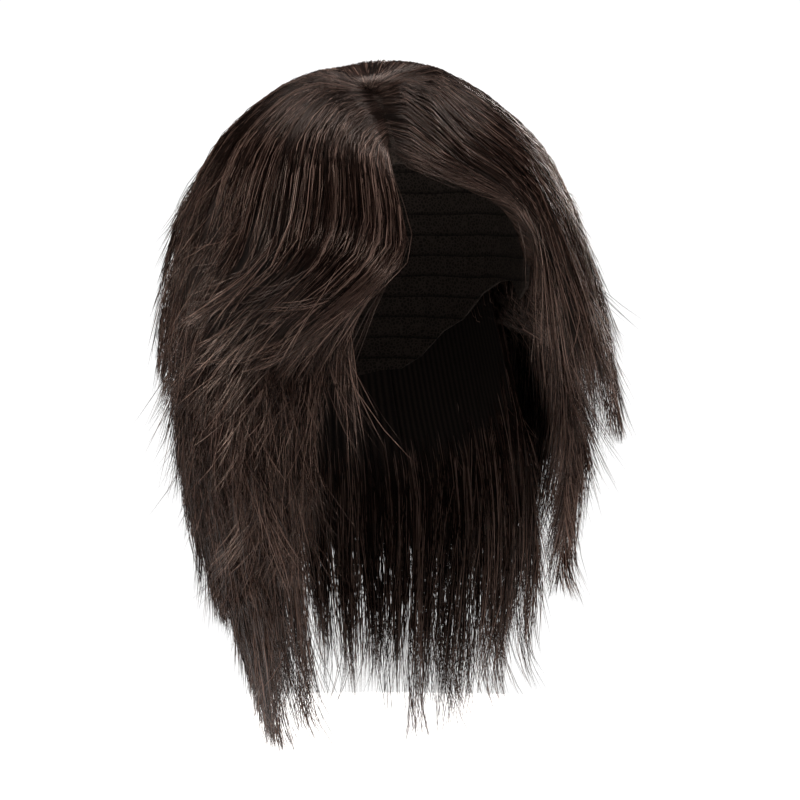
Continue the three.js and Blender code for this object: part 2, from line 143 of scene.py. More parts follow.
# Each section of hair. Lengths are in millimetres, and shares are of the length of its guides.
# span: its first and its last guide
# locks: how many locks its ends close into
# strands: how many go from the roots to the ends, and the segments of one
# radius: of its strands, from and to
# feathers: how many short cut ends lie over it, the shares between which they start, and how far they lean
# rise: how fast its feathers leave it, and the spread of that
# core: the share down to which it is dense inside
# layering: the share over which its ends are cut
# cut: the share that is left at its first and at its last guide
# buried: how many of its strands start lower on the cap, of 1, and the furthest share at which they do
# gather, tuft: how far its strands close into tresses, and its tresses into locks
# parted: how far along a strand its lock starts to close
# flick: how far its ends turn aside and outwards
# droop: how far its ends fall in at its first and at its last guide, and how much more some of them do
# fall: how many of its strands hang down out of its flow, of 1, and how far at its first and last guide
SECTIONS = [
    {"name": "sweep_right", "layer": "outer", "span": (0, 4), "locks": 11,
     "strands": (2700, 10), "radius": (0.12, 0.2), "feathers": (1000, 0.42, 0.92, 0.2), "rise": (0.03, 0.05),
     "core": 0.8, "layering": 0.36, "cut": (1, 0.86), "buried": (0.4, 0.4),
     "gather": 0.5, "tuft": 0.35, "parted": 0.5,
     "flick": (2.2, 1.5), "droop": (9, 3, 8), "fall": (0.65, 44, 36)},
    {"name": "crown_back", "layer": "outer", "span": (4, 8), "locks": 11,
     "strands": (2150, 8), "radius": (0.13, 0.22), "feathers": (600, 0.45, 0.92, 0.2), "rise": (0.03, 0.05),
     "core": 0.8, "layering": 0.36, "cut": (0.86, 0.96), "buried": (0.4, 0.4),
     "gather": 0.5, "tuft": 0.35, "parted": 0.5,
     "flick": (2.5, 1.5), "droop": (3, 4, 8), "fall": (0.6, 36, 14)},
    {"name": "sweep_left", "layer": "outer", "span": (8, 12), "locks": 11,
     "strands": (2800, 8), "radius": (0.12, 0.21), "feathers": (900, 0.5, 0.95, 0.2), "rise": (0.05, 0.07),
     "core": 0.92, "layering": 0.2, "cut": (1, 1), "buried": (0.4, 0.4),
     "gather": 0.5, "tuft": 0.4, "parted": 0.5,
     "flick": (3.5, 2.2), "droop": (2, 2, 18), "fall": (0.4, 14, 20)},
    {"name": "side_right", "layer": "middle", "span": (0, 3), "locks": 9,
     "strands": (2200, 6), "radius": (0.14, 0.23), "feathers": (2400, 0.25, 0.95, 0.28), "rise": (0.09, 0.08),
     "core": 0.74, "layering": 0.4, "cut": (1, 1), "buried": (0.25, 0.2),
     "gather": 0.5, "tuft": 0.35, "parted": 0.5,
     "flick": (5.5, 3.0), "droop": (0, 0, 5), "fall": (0.0, 0, 0)},
    {"name": "back_middle", "layer": "middle", "span": (3, 8), "locks": 10,
     "strands": (1300, 6), "radius": (0.16, 0.26), "feathers": (600, 0.4, 0.95, 0.24), "rise": (0.07, 0.06),
     "core": 0.74, "layering": 0.4, "cut": (1, 1), "buried": (0.25, 0.2),
     "gather": 0.5, "tuft": 0.4, "parted": 0.5,
     "flick": (5.5, 3.0), "droop": (0, 0, 5), "fall": (0.0, 0, 0)},
    {"name": "side_left", "layer": "middle", "span": (8, 11), "locks": 9,
     "strands": (1900, 6), "radius": (0.14, 0.23), "feathers": (1300, 0.25, 0.95, 0.2), "rise": (0.2, 0.1),
     "core": 0.78, "layering": 0.44, "cut": (1, 1), "buried": (0.25, 0.2),
     "gather": 0.45, "tuft": 0.25, "parted": 0.5,
     "flick": (5.0, 3.0), "droop": (0, 0, 8), "fall": (0.0, 0, 0)},
    {"name": "nape_right", "layer": "inner", "span": (0, 2.5), "locks": 8,
     "strands": (1800, 5), "radius": (0.15, 0.24), "feathers": (1400, 0.35, 0.95, 0.18), "rise": (0.07, 0.06),
     "core": 0.7, "layering": 0.36, "cut": (0.93, 0.97), "buried": (0.0, 0.1),
     "gather": 0.45, "tuft": 0.65, "parted": 0.68,
     "flick": (2.5, 2.0), "droop": (0, 0, 3), "fall": (0.0, 0, 0)},
    {"name": "nape_back", "layer": "inner", "span": (2.5, 5.5), "locks": 8,
     "strands": (2200, 5), "radius": (0.16, 0.26), "feathers": (500, 0.4, 0.85, 0.1), "rise": (0.07, 0.06),
     "core": 0.6, "layering": 0.42, "cut": (0.95, 0.97), "buried": (0.0, 0.1),
     "gather": 0.55, "tuft": 0.8, "parted": 0.68,
     "flick": (2.0, 1.8), "droop": (0, 0, 3), "fall": (0.0, 0, 0)},
    {"name": "nape_left", "layer": "inner", "span": (5.5, 8), "locks": 8,
     "strands": (1800, 5), "radius": (0.15, 0.24), "feathers": (1300, 0.3, 0.9, 0.15), "rise": (0.12, 0.08),
     "core": 0.64, "layering": 0.4, "cut": (1, 0.97), "buried": (0.0, 0.1),
     "gather": 0.55, "tuft": 0.75, "parted": 0.68,
     "flick": (3.2, 2.4), "droop": (0, 0, 3), "fall": (0.0, 0, 0)},
    {"name": "wisps_right", "layer": "wisps", "span": (0, 1), "locks": 3,
     "strands": (80, 8), "radius": (0.12, 0.2), "feathers": (10, 0.3, 0.8, 0.15), "rise": (0.07, 0.06),
     "core": 0.0, "layering": 0.5, "cut": (1, 1), "buried": (0.0, 0.1),
     "gather": 0.7, "tuft": 0.5, "parted": 0.5,
     "flick": (3.5, 1.5), "droop": (0, 0, 0), "fall": (0.0, 0, 0)},
]
# Fine loose hairs beside the front edge of a sweep: the guide at the edge and the way in from it,
# where they start and how long they are as shares of the guide, and how far they stand off
EDGE_HAIRS = {
    "sweep_right": {"edge": 0, "inward": 1, "count": 80,
                    "begin": (0.0, 0.12), "length": (0.4, 0.62), "peel": 5.0},
    "sweep_left": {"edge": 12, "inward": -1, "count": 320,
                   "begin": (-0.03, 0.6), "length": (0.08, 0.22), "peel": 3.0},
}
# Their segments, the guides over which they start, the step that gives the way out, how far those at
# the part lie ahead, how they peel off and curl, how far they clear the cap, and their tints and radii
EDGE_SEGMENTS = 6
EDGE_BAND = 0.3
EDGE_STEP = 0.2
EDGE_AHEAD = 8.0
EDGE_PEEL = (-0.1, 1)
EDGE_ARCH = 0.85
EDGE_CURL = 0.5
EDGE_BENDS = (0.8, 1.6)
EDGE_CLEARANCE = 0.3
EDGE_TINTS = (0.3, 0.7)
FINE_RADIUS = (0.07, 0.11)

# The grid of a layer: its steps, the finer steps that measure length, those that give the way at the
# tips, the shares before the roots and past the tips at which it ends, and the steps and the level at
# which strands are spread evenly
STEPS_PER_GUIDE = 12
STEPS_ALONG = 120
FINE_STEPS = 240
TIP_STEPS = 8
BEFORE_ROOT = -0.05
REACH = 1.2
SPREAD_STEPS = 200
SPREAD_LEVEL = 0.55

# Along the part, strands lean back to its end at the crown: the guides between which that end lies,
# the share of the length by which they are straight, and how far they lean, in guides
PART_END = (3.0, 10.0)
FAN_REACH = 0.28
FAN_WIDTH = 0.75
FAN_VARIES = (0.6, 1.2)
# By guide: how far roots go past the part, and how far roots lie aside
PART_OVERLAP = ((1.5, 3, 9.5, 11), (4.0, 6.0, 6.0, 4.0))
TOUSLE = ((2, 3.2, 9.2, 10.5), (0.3, 1.2, 1.2, 0.3))

# Tresses: how many to a lock, how uneven they lie, how strands stray between them, and their lengths
TRESSES_PER_LOCK = 8
TRESS_JITTER = 0.35
TRESS_MIX = 0.8
TRESS_UNEVEN = (-0.1, 0.05)
LOCK_MIDDLE = 1.05
LOCK_ROUNDING = 0.1
LONGEST = 1.03
LAYERING_POWER = 1.6
# How deep strands, tresses and locks lie, as shares of the thickness
TRESS_DEPTH = 0.8
LOCK_DEPTH = 0.3
SUNK_AT_ROOT = 0.35
SUNK_BELOW = 0.45
# Strands that start lower on the cap: the least share, how deep they lie, how deep they start, and
# the share of the length over which they come out
BURIED_FROM = 0.02
BURIED_LEAST = 0.4
BURIED_SPREAD = 0.6
BURIED_DIVE = 40
BURIED_RISE = 0.2
# Some strands keep away from their tress
FREE_SHARE = 0.4
FREE_KEEPS = (0, 0.4)
TRESS_KEEPS = (0.6, 1.2)
# Flicks of single strands beside their tress, the mean lift, and the share of strands that droop more
OWN_FLICK = 0.8
MEAN_LIFT = 0.2
FLICK_POWER = 1.6
DROOP_SHARE = 0.6
FALL_POWER = 1.4
FALL_INWARD = 0.3
DOWN = np.array([0.0, 0.0, -1.0])
# Waves of tresses: turns over the length, and width. Loose turns of single strands: how many, how far,
# how far at most, and the share of that in the outer layer. Strays: how many, how far, and the distance
# past the solids' box at which a strand is left out
WAVE_TURNS = (0.6, 1.6)
WAVE_WIDTH = 1.2
LOOSE_TURNS = (0.9, 2.1)
LOOSE_VARIES = (0.8, 1.2)
LOOSE_SHAPE = (2.0, 0.35)
LOOSEST = 2
OUTER_LOOSE = 0.6
STRAY_SHARE = 0.05
STRAY_WIDTH = (1.5, 3.5)
STRAY_LIMIT = 13.0
# How far strands clear the cap and lie above each other there, how segments crowd to the roots of the
# outer layer, the furthest of normal spreads, and the level below which there is no cap
STRAND_CLEARANCE = 0.4
STRAND_PILE = 0.8
OUTER_ROOT_DETAIL = 1.3
FURTHEST_SPREAD = 1.8
CAP_LOWEST = -160

# Tints: dark, brown and light strands, up to which share of them, and spreads
TINT_MIDDLES = (0.13, 0.5, 0.8)
TINT_SHARES = (0.6, 0.85)
TINT_SPREAD = 0.08
TRESS_TINT = 0.17
# Strays are tinted lighter: painted light, for light that shines through thin loose hairs
STRAY_PAINTED_LIGHT = 0.1
TINT_LIMITS = (0.03, 0.95)
# Of the long strands, the share that stand for several hairs that cling together, and their width
# and tint beside the others
BUNDLE_SHARE = 0.16
BUNDLE_WIDTH = 1.5
SINGLE_WIDTH = 0.95
BUNDLE_TINT = (0.08, 0.1)

# Feathers: their segments, length, its spread and its least, the share at which they end, the spread of
# their starts, how far their tufts close, how deep they start, how each differs from its tuft, tint,
# radius, how far they clear the cap, and their tufts
FEATHER_SEGMENTS = 4
FEATHER_LENGTH = (22.0, 62.0)
FEATHER_VARIES = (0.7, 1.1)
FEATHER_LEAST = 6
FEATHER_END = 1.02
FEATHER_JITTER = 0.05
FEATHER_CLOSING = 0.7
FEATHER_UNDER = (0.2, 1.0)
FEATHER_OWN_LEAN = 0.4
FEATHER_OWN_BEND = 0.5
FEATHER_OWN_RISE = 0.6
FEATHER_TINT = (0.08, 0.08)
FEATHER_RADIUS = (0.11, 0.18)
FEATHER_CLEARANCE = 0.5
FEATHERS_PER_TUFT = 12
TUFT_SPREAD = 0.12

# A strand's shape: its width at the root, how far its tip narrows, and its three sides. Its map: the
# step round it, the height of its root face, and the lowest and highest place
ROOT_WIDTH = 0.3
TIP_NARROWING = 0.7
SIDE_ANGLES = (90, 210, 330)
MAP_STEP = 0.012
MAP_ROOT = 0.006
MAP_LIMITS = (0.002, 0.998)
# The dense inside of a section: its grid, how far in from a layer's front edges it stays, its points at
# the locks, depth, share of the droop, thickness, how far its faces clear the cap, and its place in the map
CORE_ROWS = 17
CORE_COLUMNS_PER_LOCK = 4
CORE_MARGIN = 0.16
CORE_POINTS = 0.16
CORE_DEPTH = {"outer": 0.5, "middle": 0.5, "inner": 0.3}
CORE_DROOP = 1.1
CORE_THICKNESS = 0.2
CORE_CLEARANCE = (0.9, 0.4)
CORE_MAP = (0.004, 0.03)
FIRST_SEED = 40


def smooth(low, high, x):
    """0 up to low, 1 from high on, and an even rise between."""
    t = np.clip((x - low) / (high - low), 0, 1)
    return t * t * (3 - 2 * t)


def unit(v):
    """The same directions at length 1."""
    return v / np.maximum(np.linalg.norm(v, axis=-1, keepdims=True), 1e-9)


def place_off_head(places, hang):
    """Points for places of (turn, drop, out). With hang, all below the widest level goes straight down."""
    turn, drop, out = np.moveaxis(np.asarray(places, float), -1, 0)
    side = np.radians(turn)
    depth = np.where(np.cos(side) > 0, HEAD_BACK, HEAD_FRONT)
    below = np.maximum(0, drop - CROWN_ARC)
    tilt = np.minimum(drop, CROWN_ARC) / CROWN_ARC * math.pi / 2
    spread = np.sin(tilt) * (1 if hang else np.sqrt(1 - (below / NAPE_HEIGHT) ** 2))
    return np.stack([
        (HEAD_HALF_WIDTH + out) * spread * np.sin(side),
        (depth + out) * spread * np.cos(side),
        (CROWN_HEIGHT + out) * np.cos(tilt) - CROWN_HEIGHT - below,
    ], -1)


def head_sizes(p):
    """Points from the middle of the head form, and its half sizes on their side of it."""
    level = p[..., 2] + CROWN_HEIGHT
    depth = np.where(p[..., 1] > 0, HEAD_BACK, HEAD_FRONT)
    height = np.where(level > 0, CROWN_HEIGHT, NAPE_HEIGHT)
    sizes = np.stack([np.full_like(level, HEAD_HALF_WIDTH), depth, height], -1)
    return p + np.array([0, 0, CROWN_HEIGHT]), sizes


def height_off_head(p):
    """How far each point is off the head, on its line out from the form's middle."""
    line, sizes = head_sizes(p)
    times = np.maximum(np.linalg.norm(line / sizes, axis=-1), 1e-6)
    return np.linalg.norm(line, axis=-1) * (1 - 1 / times)


def seat_off_head(p, height):
    """Each point on the same line out from the form's middle, so high off the head."""
    line, _ = head_sizes(p)
    length = np.linalg.norm(line, axis=-1)
    return p + line * ((height - height_off_head(p)) / length)[..., None]


def away_from_head(p):
    """Directions out of the head form, level where that would be downwards."""
    line, sizes = head_sizes(p)
    way = line / sizes ** 2
    way[..., 2] = np.maximum(way[..., 2], 0)
    return unit(way)


def on_cap(p):
    """Whether each point lies over the cap, clear of its rim."""
    line, sizes = head_sizes(seat_off_head(p, np.zeros(p.shape[:-1])))
    turn = np.degrees(np.abs(np.arctan2(line[..., 0] / sizes[..., 0], line[..., 1] / sizes[..., 1])))
    level = line[..., 2]
    tilt = np.arccos(np.clip(level / CROWN_HEIGHT, 0, 1))
    drop = tilt / (math.pi / 2) * CROWN_ARC - np.minimum(level, 0)
    return drop < np.interp(turn, *zip(*CAP_RIM)) - RIM_MARGIN


def curve_through(points, t):
    """Centripetal curves through points (..., n, 3), at shares t of the way along."""
    n = points.shape[-2]
    first = 2 * points[..., :1, :] - points[..., 1:2, :]
    last = 2 * points[..., -1:, :] - points[..., -2:-1, :]
    p = np.concatenate([first, points, last], -2)
    x = np.clip(t, 0, 1) * (n - 1)
    i = np.minimum(x.astype(int), n - 2)
    w = (x - i)[:, None]
    p0, p1, p2, p3 = (p[..., i + k, :] for k in range(4))
    d0, d1, d2 = (np.sqrt(np.maximum(np.linalg.norm(b - a, axis=-1, keepdims=True), 1e-6))
                  for a, b in ((p0, p1), (p1, p2), (p2, p3)))
    m1 = ((p1 - p0) / d0 - (p2 - p0) / (d0 + d1) + (p2 - p1) / d1) * d1
    m2 = ((p2 - p1) / d1 - (p3 - p1) / (d1 + d2) + (p3 - p2) / d2) * d1
    return p1 + m1 * w + (3 * (p2 - p1) - 2 * m1 - m2) * w ** 2 + (2 * (p1 - p2) + m1 + m2) * w ** 3


class Sheet:
    """The outer face of a layer of hair: a grid across the guides and along each, by length."""

    def __init__(self, guides, thickness):
        places = np.array(guides, float)
        self.thickness = thickness
        self.last = len(guides) - 1
        share = np.linspace(0, 1, self.last * STEPS_PER_GUIDE + 1)
        across = [curve_through(place_off_head(places[:, k], k > 0), share) for k in range(places.shape[1])]
        across[0] = seat_off_head(across[0], ROOT_HEIGHT)
        fine = curve_through(np.stack(across, 1), np.linspace(0, 1, FINE_STEPS + 1))
        step = np.linalg.norm(np.diff(fine, axis=1), axis=-1)
        far = np.concatenate([np.zeros((len(fine), 1)), step.cumsum(1)], 1)
        self.length = far[:, -1]
        self.face = np.empty((len(fine), STEPS_ALONG + 1, 3))
        wanted = np.linspace(0, REACH, STEPS_ALONG + 1)
        for row, (line, travel) in enumerate(zip(fine, far)):
            ask = wanted * travel[-1]
            for axis in range(3):
                self.face[row, :, axis] = np.interp(ask, travel, line[:, axis])
            beyond = np.maximum(ask - travel[-1], 0)[:, None]
            self.face[row] += beyond * unit(line[-1] - line[-TIP_STEPS])
        sideways = np.gradient(self.face, axis=0)
        down = np.gradient(self.face, axis=1)
        normal = unit(np.cross(sideways, down))
        away = away_from_head(self.face)
        facing = np.sign((normal * away).sum(-1, keepdims=True))
        self.normal = unit(normal * np.where(facing == 0, 1, facing) + away)

    def at(self, u, s):
        """Points and outward directions at guides u and shares s of the way along."""
        x = np.clip(u, 0, self.last) * STEPS_PER_GUIDE
        y = np.clip(s, BEFORE_ROOT, REACH) / REACH * STEPS_ALONG
        x, y = np.broadcast_arrays(x, y)
        i = np.minimum(x.astype(int), len(self.face) - 2)
        j = np.clip(y.astype(int), 0, STEPS_ALONG - 1)
        a, b = (x - i)[..., None], (y - j)[..., None]

        def mixed(grid):
            return ((grid[i, j] * (1 - a) + grid[i + 1, j] * a) * (1 - b)
                    + (grid[i, j + 1] * (1 - a) + grid[i + 1, j + 1] * a) * b)

        return mixed(self.face), unit(mixed(self.normal))

    def depth(self, u, s):
        """Thickness: full a quarter of the way down, thin at the root, the tip and the front edges."""
        share = np.clip(s, 0, 1)
        edge = EDGE_SHARE + (1 - EDGE_SHARE) * smooth(0, 1, np.minimum(u, self.last - u))
        base = ROOT_THICKNESS + (TIP_THICKNESS - ROOT_THICKNESS) * share
        return base + (self.thickness * edge - base) * np.sin(math.pi * np.sqrt(share))


SHEETS = {name: Sheet(**layer) for name, layer in LAYERS.items()}


def off_cap(path, low):
    """The path, raised to so high off the head where it runs through the cap."""
    height = height_off_head(path)
    sunk = (height < low) & (path[..., 2] > CAP_LOWEST)
    return np.where(sunk[..., None], seat_off_head(path, np.broadcast_to(low, height.shape)), path)


def spread_roots(section, rng, count):
    """Guides for so many strands, even in millimetres across a section."""
    sheet = SHEETS[section["layer"]]
    guides = np.linspace(*section["span"], SPREAD_STEPS)
    across, _ = sheet.at(guides, np.full(SPREAD_STEPS, SPREAD_LEVEL))
    width = np.linalg.norm(np.diff(across, axis=0), axis=-1)
    share = np.concatenate([[0], width.cumsum()]) / width.sum()
    return np.interp((np.arange(count) + rng.random(count)) / count, share, guides)


def bounded(rng, count):
    """Normal spreads without their far tails."""
    return np.clip(rng.normal(0, 1, count), -FURTHEST_SPREAD, FURTHEST_SPREAD)


def tints(rng, count):
    """Mostly dark strands, with brown ones and a few light ones among them."""
    kind = rng.random(count)
    dark, brown, light = TINT_MIDDLES
    middle = np.where(kind < TINT_SHARES[0], dark, np.where(kind < TINT_SHARES[1], brown, light))
    return middle + rng.normal(0, TINT_SPREAD, count)


def grow(section, rng):
    """Strands from roots to ends: paths (strand, point, 3), the way out, shares along, tints and radii."""
    sheet = SHEETS[section["layer"]]
    outer = section["layer"] == "outer"
    first, last = section["span"]
    (count, segments), locks = section["strands"], section["locks"]
    root = spread_roots(section, rng, count)
    # Strands gather into tresses, and tresses into locks
    tresses = locks * TRESSES_PER_LOCK
    jitter = rng.uniform(-TRESS_JITTER, TRESS_JITTER, tresses)
    tress_guide = first + (last - first) * (np.arange(tresses) + 0.5 + jitter) / tresses
    tress_lock = np.arange(tresses) // TRESSES_PER_LOCK
    lock_guide = first + (last - first) * (np.arange(locks) + 0.5) / locks
    spot = (root - first) / (last - first) * tresses + rng.normal(0, TRESS_MIX, count)
    tress = np.clip(spot.astype(int), 0, tresses - 1)
    lock = tress_lock[tress]
    off_middle = np.abs((np.arange(tresses) % TRESSES_PER_LOCK + 0.5) / TRESSES_PER_LOCK - 0.5) * 2
    uneven = rng.uniform(*TRESS_UNEVEN, tresses)
    lock_length = LOCK_LENGTHS[tress_lock % len(LOCK_LENGTHS)]
    tress_length = lock_length * (LOCK_MIDDLE - LOCK_ROUNDING * off_middle ** 2 + uneven)
    cut = np.interp(root, section["span"], section["cut"])
    layered = section["layering"] * rng.random(count) ** LAYERING_POWER
    length = np.minimum(tress_length[tress], LONGEST) * cut * (1 - layered)
    buried = rng.random(count) < section["buried"][0]
    reach = np.interp(root * STEPS_PER_GUIDE, np.arange(len(sheet.length)), sheet.length)
    # Roots go past the part, and most where it ends at the crown
    over = np.interp(root, *PART_OVERLAP) if outer else np.ones(count)
    lower = rng.uniform(BURIED_FROM, section["buried"][1], count)
    buried = buried & on_cap(sheet.at(root, lower)[0])
    begin = np.where(buried, lower, -rng.random(count) * over / reach)
    t = np.linspace(0, 1, segments + 1) ** (OUTER_ROOT_DETAIL if outer else 1)
    s = begin[:, None] + (length - begin)[:, None] * t
    run = s / length[:, None]

    own_depth = rng.random(count) * np.where(buried, BURIED_SPREAD, 1) + np.where(buried, BURIED_LEAST, 0)
    own_depth = own_depth[:, None]
    tress_depth = rng.uniform(0.0, TRESS_DEPTH, tresses)[tress][:, None]
    toward = (np.clip(root, *PART_END) - root) * outer
    gone = toward / np.where(toward > 0, PART_END[0], PART_END[1] - sheet.last)
    lean = np.sign(toward) * FAN_WIDTH * 4 * gone * (1 - gone) * rng.uniform(*FAN_VARIES, count)
    guide = root[:, None] + lean[:, None] * np.clip(1 - s / FAN_REACH, 0, 1) ** 2
    thick = sheet.depth(guide, s)
    own, out = sheet.at(guide, s)
    middle, _ = sheet.at(tress_guide[tress][:, None], s)
    heart, _ = sheet.at(lock_guide[lock][:, None], s)
    below = buried[:, None] * BURIED_DIVE * (1 - smooth(0, BURIED_RISE, s - begin[:, None]))
    sunk = own_depth * thick * (SUNK_AT_ROOT + SUNK_BELOW * smooth(0.15, 0.6, s))
    own = own - out * (sunk + below)[..., None]
    middle = middle - out * (tress_depth * thick)[..., None]
    heart = heart - out * (LOCK_DEPTH * thick)[..., None]
    free = rng.random(count) < FREE_SHARE
    keeps = np.where(free, rng.uniform(*FREE_KEEPS, count), rng.uniform(*TRESS_KEEPS, count))[:, None]
    to_tress = (section["gather"] * keeps * smooth(0.1, 0.95, run))[..., None]
    to_lock = (section["tuft"] * keeps * smooth(section["parted"], 1.0, run))[..., None]
    path = own + to_tress * (middle - own) + to_lock * (heart - middle)

    # Tresses and strands drift, and their ends turn aside, fall in or hang down
    along = unit(np.gradient(path, axis=1))
    side = unit(np.cross(along, out))
    aside, outwards = section["flick"]
    turned = smooth(0.4, 1.0, run) ** FLICK_POWER
    flick = bounded(rng, tresses)[tress] + OWN_FLICK * bounded(rng, count)
    sway = aside * flick[:, None] * turned
    flick = MEAN_LIFT + bounded(rng, tresses)[tress] + OWN_FLICK * bounded(rng, count)
    lift = outwards * flick[:, None] * turned
    *steady, spread = section["droop"]
    more = spread * rng.random(count) * (rng.random(count) < DROOP_SHARE)
    droop = np.interp(root, section["span"], steady) + more
    lift = lift - droop[:, None] * smooth(0.45, 1.0, run)
    pace = rng.uniform(*WAVE_TURNS, tresses)[tress][:, None]
    wave = np.sin(2 * math.pi * (pace * s + rng.random(tresses)[tress][:, None]))
    sway = sway + WAVE_WIDTH * wave * smooth(0.1, 0.9, run)
    tousle = rng.normal(0, 1, count) * np.interp(root, *TOUSLE) * outer
    sway = sway + tousle[:, None] * (1 - smooth(0.0, 0.1, run))
    stray = rng.random(count) < STRAY_SHARE
    far = rng.uniform(*STRAY_WIDTH, count)
    near = np.minimum(rng.gamma(*LOOSE_SHAPE, count), LOOSEST)
    loose = np.where(stray, far, near)[:, None] * (OUTER_LOOSE if outer else 1)
    for turns in LOOSE_TURNS:
        pace = turns * rng.uniform(*LOOSE_VARIES, count)[:, None]
        beat = 2 * math.pi * (pace * s + rng.random(count)[:, None])
        sway = sway + loose * np.sin(beat) * smooth(0.0, 0.8, run)
        lift = lift + loose * np.cos(beat) * smooth(0.0, 0.8, run) * 0.5
    path = path + side * sway[..., None] + out * lift[..., None]
    share, *furthest = section["fall"]
    fall = np.interp(root, section["span"], furthest) * rng.random(count) * (rng.random(count) < share)
    hung = smooth(0.4, 1.0, run) ** FALL_POWER
    path = path + fall[:, None, None] * hung[..., None] * (DOWN - FALL_INWARD * out)
    path = off_cap(path, CAP_WALL + STRAND_CLEARANCE + own_depth * STRAND_PILE)
    # Strays get a lighter tint, painted light shining through them
    tint = tints(rng, count) + rng.normal(0, TRESS_TINT, tresses)[tress] + STRAY_PAINTED_LIGHT * stray
    bundle = rng.random(count) < BUNDLE_SHARE
    tint = tint + bundle * rng.normal(*BUNDLE_TINT, count)
    radius = rng.uniform(*section["radius"], count) * np.where(bundle, BUNDLE_WIDTH, SINGLE_WIDTH)
    return path, out, s, tint, radius


def grow_feathers(section, rng):
    """Short cut ends that start inside a section and stand off its flow, in the same form."""
    sheet = SHEETS[section["layer"]]
    count, low, high, aslant = section["feathers"]
    tufts = count // FEATHERS_PER_TUFT + 1
    tuft = rng.integers(0, tufts, count)
    t = np.linspace(0, 1, FEATHER_SEGMENTS + 1)
    middle = spread_roots(section, rng, tufts)[tuft]
    beside = TUFT_SPREAD * bounded(rng, count)
    root = np.clip(middle[:, None] + beside[:, None] * (1 - FEATHER_CLOSING * t), *section["span"])
    reach = np.interp(middle * STEPS_PER_GUIDE, np.arange(len(sheet.length)), sheet.length)
    begin = rng.uniform(low, high, tufts)[tuft] + rng.uniform(-FEATHER_JITTER, FEATHER_JITTER, count)
    travel = rng.uniform(*FEATHER_LENGTH, tufts)[tuft] * rng.uniform(*FEATHER_VARIES, count)
    most = np.maximum((FEATHER_END - begin) * reach, FEATHER_LEAST)
    travel = np.clip(travel, FEATHER_LEAST, most)[:, None] * t
    begin = begin * np.interp(middle, section["span"], section["cut"])
    s = begin[:, None] + travel / reach[:, None]
    path, out = sheet.at(root, s)
    side = unit(np.cross(unit(np.gradient(path, axis=1)), out))
    lean = bounded(rng, tufts)[tuft] + FEATHER_OWN_LEAN * bounded(rng, count)
    bend = bounded(rng, tufts)[tuft] + FEATHER_OWN_BEND * bounded(rng, count)
    lean = aslant * (lean[:, None] + bend[:, None] * t)
    rise, varied = section["rise"]
    varied = varied * (bounded(rng, tufts)[tuft] + FEATHER_OWN_RISE * bounded(rng, count))
    rise = (rise + varied)[:, None] * t
    under = rng.uniform(*FEATHER_UNDER, count)[:, None] * sheet.depth(root, s) * (1 - smooth(0, 0.6, t))
    path = path + side * (travel * lean)[..., None] + out * (travel * rise - under)[..., None]
    path = off_cap(path, np.full((count, 1), CAP_WALL + FEATHER_CLEARANCE))
    tint = tints(rng, count) + rng.normal(*FEATHER_TINT, tufts)[tuft]
    return path, out, s, tint, rng.uniform(*FEATHER_RADIUS, count)


def grow_edge(section, rng):
    """Fine hairs that leave the front edge of a sweep, in the same form as grow gives."""
    sheet = SHEETS[section["layer"]]
    hairs = EDGE_HAIRS[section["name"]]
    count, edge, inward = hairs["count"], hairs["edge"], hairs["inward"]
    t = np.linspace(0, 1, EDGE_SEGMENTS + 1)
    s = rng.uniform(*hairs["begin"], count)[:, None] + rng.uniform(*hairs["length"], count)[:, None] * t
    u = (edge + inward * rng.uniform(0, EDGE_BAND, count))[:, None]
    path, out = sheet.at(u, s)
    rim, _ = sheet.at(np.full_like(s, edge), s)
    within, _ = sheet.at(np.full_like(s, edge + EDGE_STEP * inward), s)
    peel = rng.uniform(*EDGE_PEEL, count)[:, None] * hairs["peel"] * np.sin(EDGE_ARCH * math.pi * t)
    # Those that start at the part spread over the front rim of the cap
    ahead = rng.uniform(0, EDGE_AHEAD, count)[:, None] * (1 - smooth(0.0, 0.12, s[:, :1])) * (edge > 0)
    bend = EDGE_CURL * bounded(rng, count)[:, None]
    curl = bend * np.sin(math.pi * rng.uniform(*EDGE_BENDS, count)[:, None] * t)
    path = path + unit(rim - within) * (peel + curl + ahead)[..., None]
    high = height_off_head(path)
    low = CAP_WALL + FEATHER_CLEARANCE
    path = seat_off_head(path, low + (high - CAP_WALL - FEATHER_CLEARANCE) * smooth(0, 0.7, t))
    path = off_cap(path, np.full((count, 1), CAP_WALL + EDGE_CLEARANCE))
    return path, out, s, rng.uniform(*EDGE_TINTS, count), rng.uniform(*FINE_RADIUS, count)


def kept_near(path, *rest):
    """Only the strands that stay near the solids' own box."""
    low = np.array(CAD_BOX[0]) / MM - STRAY_LIMIT
    high = np.array(CAD_BOX[1]) / MM + STRAY_LIMIT
    near = ((path > low) & (path < high)).all((1, 2))
    return path[near], *(values[near] for values in rest)


